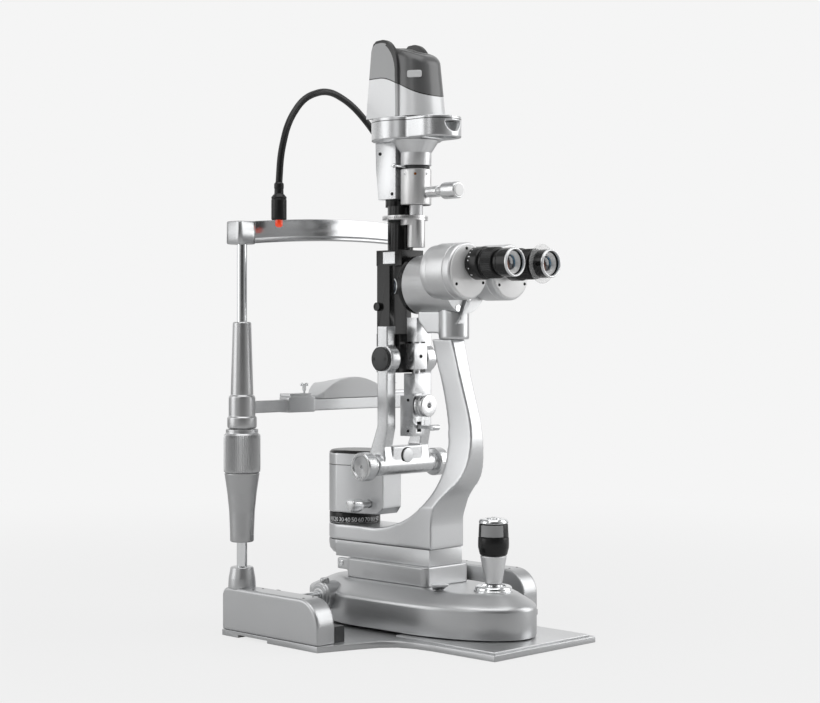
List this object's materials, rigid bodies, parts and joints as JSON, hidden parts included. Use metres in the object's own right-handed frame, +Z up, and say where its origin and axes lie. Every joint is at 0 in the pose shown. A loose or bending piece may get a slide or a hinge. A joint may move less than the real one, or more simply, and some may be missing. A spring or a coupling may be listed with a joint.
{
  "type": "slit lamp",
  "caption": "Table slit lamp: binocular microscope and tilting slit illuminator on a shared swing axis, on a joystick cross-slide base with chinrest and fixation light.",
  "frame": {"origin": "on the table plane, directly below the swing axis shared by the two arms", "axes": "+Z up; the examiner sits at -Y and the patient at +Y; +X to the examiner's right"},
  "size_m": [0.3708, 0.346, 0.688],
  "materials": {
    "satin_silver": "fine textured silver-grey paint",
    "brushed_silver": "satin turned silver",
    "gloss_black": "gloss black anodised",
    "chrome": "polished",
    "dark_steel": "black oxide",
    "chin_plastic": "moulded grey plastic",
    "pad_silicone": "soft silicone",
    "lamp_shell": "moulded light grey and graphite plastic",
    "red_lens": "translucent red",
    "mirror": "front-silvered"
  },
  "bodies": {
    "root": {"base_plate": "satin_silver", "glide_pad": "satin_silver", "left_rail_cover": "satin_silver", "right_rail_cover": "satin_silver", "rail_racks": "dark_steel", "post_socket": "satin_silver", "headrest_post": "chrome", "forehead_band": "satin_silver", "forehead_pad": "pad_silicone", "fixation_mount": "satin_silver"},
    "height_grip": {"height_grip": "satin_silver"},
    "chinrest": {"chin_sleeve": "satin_silver", "chin_crossbar": "satin_silver", "chin_cup": "chin_plastic"},
    "pin_left": {"paper_pin_left": "chrome"},
    "pin_right": {"paper_pin_right": "chrome"},
    "fixation_arm": {"gooseneck": "gloss_black", "fixation_lamp": "gloss_black", "fixation_lens": "red_lens"},
    "carriage": {"axle": "chrome"},
    "wheel_left": {"wheel_left": "chrome"},
    "wheel_right": {"wheel_right": "chrome"},
    "base": {"base_housing": "satin_silver", "bearing_covers": "satin_silver", "pedestal": "satin_silver", "joystick_socket": "chrome"},
    "base_lock": {"base_lock_lever": "satin_silver"},
    "joystick_ball": {"joystick_ball": "chrome"},
    "joystick_cone": {"joystick_cone": "brushed_silver"},
    "joystick_grip": {"joystick_grip": "gloss_black"},
    "joystick_button": {"joystick_button": "chrome"},
    "column": {"column_head": "satin_silver", "pivot_shaft": "chrome"},
    "microscope": {"microscope_arm": "satin_silver", "angle_scale_ring": "gloss_black", "microscope_bracket": "satin_silver", "microscope_drum": "brushed_silver", "objective_bezel": "gloss_black"},
    "magnification_lever": {"magnification_lever": "satin_silver"},
    "left_prism": {"left_prism_housing": "brushed_silver"},
    "right_prism": {"right_prism_housing": "brushed_silver"},
    "left_eyepiece": {"left_eyepiece": "gloss_black"},
    "right_eyepiece": {"right_eyepiece": "gloss_black"},
    "illumination_arm": {"illumination_housing": "satin_silver", "illumination_fork": "satin_silver"},
    "slit_knobs": {"slit_knobs": "satin_silver"},
    "swing_clamp": {"swing_clamp_knob": "satin_silver"},
    "tower": {"tower_columns": "gloss_black", "tower_tail": "satin_silver", "mirror_head": "mirror", "slit_dial": "brushed_silver", "lamp_neck": "brushed_silver", "filter_box": "satin_silver", "lamp_ring": "satin_silver", "lamp_housing": "lamp_shell"},
    "slit_drum": {"slit_drum": "brushed_silver"},
    "aperture_knob": {"aperture_knob": "brushed_silver"},
    "filter_lever": {"filter_lever": "brushed_silver"},
    "centring_knob": {"centring_knob": "satin_silver"},
    "tilt_latch": {"tilt_latch": "brushed_silver"}
  },
  "joints": [
    {"name": "fore_aft_slide", "type": "slide", "parent": "root", "child": "carriage", "axis": [0, -1, 0], "range_m": [-0.01, 0.08]},
    {"name": "left_wheel_roll", "type": "hinge", "parent": "carriage", "child": "wheel_left", "pos_m": [-0.146, -0.023, 0.039], "axis": [1, 0, 0], "range_deg": [-60, 340]},
    {"name": "right_wheel_roll", "type": "hinge", "parent": "carriage", "child": "wheel_right", "pos_m": [0.146, -0.023, 0.039], "axis": [1, 0, 0], "range_deg": [-60, 340]},
    {"name": "side_slide", "type": "slide", "parent": "carriage", "child": "base", "axis": [-1, 0, 0], "range_m": [-0.05, 0.05]},
    {"name": "base_lock_turn", "type": "hinge", "parent": "base", "child": "base_lock", "pos_m": [-0.033, -0.178, 0.06], "axis": [0, 0, 1], "range_deg": [-25, 25]},
    {"name": "joystick_fore_aft", "type": "hinge", "parent": "base", "child": "joystick_ball", "pos_m": [0, -0.226, 0.062], "axis": [1, 0, 0], "range_deg": [-10, 10]},
    {"name": "joystick_side", "type": "hinge", "parent": "joystick_ball", "child": "joystick_cone", "pos_m": [0, -0.226, 0.062], "axis": [0, 1, 0], "range_deg": [-10, 10]},
    {"name": "joystick_twist", "type": "hinge", "parent": "joystick_cone", "child": "joystick_grip", "pos_m": [0, -0.226, 0.062], "axis": [0, 0, 1], "range_deg": [0, 1090]},
    {"name": "joystick_press", "type": "slide", "parent": "joystick_grip", "child": "joystick_button", "axis": [0, 0, 1], "range_m": [-0.0015, 0], "stiffness_N_per_m": 900, "springref_m": 0.0004},
    {"name": "column_lift", "type": "slide", "parent": "base", "child": "column", "axis": [0, 0, 1], "range_m": [0, 0.03]},
    {"name": "microscope_swing", "type": "hinge", "parent": "column", "child": "microscope", "pos_m": [0, 0, 0.11], "axis": [0, 0, 1], "range_deg": [-45, 45]},
    {"name": "illumination_swing", "type": "hinge", "parent": "column", "child": "illumination_arm", "pos_m": [0, 0, 0.16], "axis": [0, 0, 1], "range_deg": [-45, 45]},
    {"name": "magnification_turn", "type": "hinge", "parent": "microscope", "child": "magnification_lever", "pos_m": [0.002, -0.185, 0.386], "axis": [0, 1, 0], "range_deg": [-20, 20]},
    {"name": "left_prism_turn", "type": "hinge", "parent": "microscope", "child": "left_prism", "pos_m": [-0.035, -0.2, 0.415], "axis": [0, 1, 0], "range_deg": [-25, 25]},
    {"name": "right_prism_turn", "type": "hinge", "parent": "microscope", "child": "right_prism", "pos_m": [0.035, -0.2, 0.415], "axis": [0, 1, 0], "range_deg": [-25, 25]},
    {"name": "left_dioptre_turn", "type": "hinge", "parent": "left_prism", "child": "left_eyepiece", "pos_m": [-0.03, -0.25, 0.4234], "axis": [0, 1, 0], "range_deg": [-120, 120]},
    {"name": "right_dioptre_turn", "type": "hinge", "parent": "right_prism", "child": "right_eyepiece", "pos_m": [0.03, -0.25, 0.4234], "axis": [0, 1, 0], "range_deg": [-120, 120]},
    {"name": "slit_width_turn", "type": "hinge", "parent": "illumination_arm", "child": "slit_knobs", "pos_m": [0, -0.079, 0.192], "axis": [1, 0, 0], "range_deg": [-150, 150]},
    {"name": "swing_clamp_turn", "type": "hinge", "parent": "illumination_arm", "child": "swing_clamp", "pos_m": [-0.04, -0.044, 0.144], "axis": [1, 0, 0], "range_deg": [-60, 60]},
    {"name": "tower_tilt", "type": "hinge", "parent": "illumination_arm", "child": "tower", "pos_m": [0, -0.085, 0.316], "axis": [-1, 0, 0], "range_deg": [0, 10]},
    {"name": "slit_rotation", "type": "hinge", "parent": "tower", "child": "slit_drum", "pos_m": [0, -0.104, 0.51], "axis": [0, 0, 1], "range_deg": [-90, 90]},
    {"name": "aperture_turn", "type": "hinge", "parent": "slit_drum", "child": "aperture_knob", "pos_m": [0, -0.14, 0.5095], "axis": [0, 1, 0], "range_deg": [-150, 150]},
    {"name": "filter_turn", "type": "hinge", "parent": "tower", "child": "filter_lever", "pos_m": [0, -0.104, 0.539], "axis": [0, 0, 1], "range_deg": [-40, 40]},
    {"name": "centring_turn", "type": "hinge", "parent": "tower", "child": "centring_knob", "pos_m": [0, -0.115, 0.262], "axis": [0, 1, 0], "range_deg": [-120, 120]},
    {"name": "tilt_latch_press", "type": "hinge", "parent": "tower", "child": "tilt_latch", "pos_m": [0, -0.104, 0.237], "axis": [1, 0, 0], "range_deg": [0, 15], "stiffness_Nm_per_rad": 0.2, "springref_deg": -5.73},
    {"name": "chin_lift", "type": "slide", "parent": "root", "child": "chinrest", "axis": [0, 0, 1], "range_m": [0, 0.06]},
    {"name": "height_grip_turn", "type": "hinge", "parent": "root", "child": "height_grip", "pos_m": [-0.168, 0.01, 0.17], "axis": [0, 0, 1], "range_deg": [0, 1090]},
    {"name": "left_pin_pull", "type": "slide", "parent": "chinrest", "child": "pin_left", "axis": [0, 0, 1], "range_m": [0, 0.012]},
    {"name": "right_pin_pull", "type": "slide", "parent": "chinrest", "child": "pin_right", "axis": [0, 0, 1], "range_m": [0, 0.012]},
    {"name": "fixation_swing", "type": "hinge", "parent": "root", "child": "fixation_arm", "pos_m": [0.105, 0.028, 0.479], "axis": [0, 0, 1], "range_deg": [-3, 15]}
  ],
  "couplings": [
    {"joint": "left_wheel_roll", "follows": "fore_aft_slide", "rad_per_m": 71.429},
    {"joint": "right_wheel_roll", "follows": "fore_aft_slide", "rad_per_m": 71.429},
    {"joint": "joystick_twist", "follows": "column_lift", "rad_per_m": 628.3},
    {"joint": "right_prism_turn", "follows": "left_prism_turn", "ratio": -1},
    {"joint": "height_grip_turn", "follows": "chin_lift", "rad_per_m": 314.16}
  ]
}
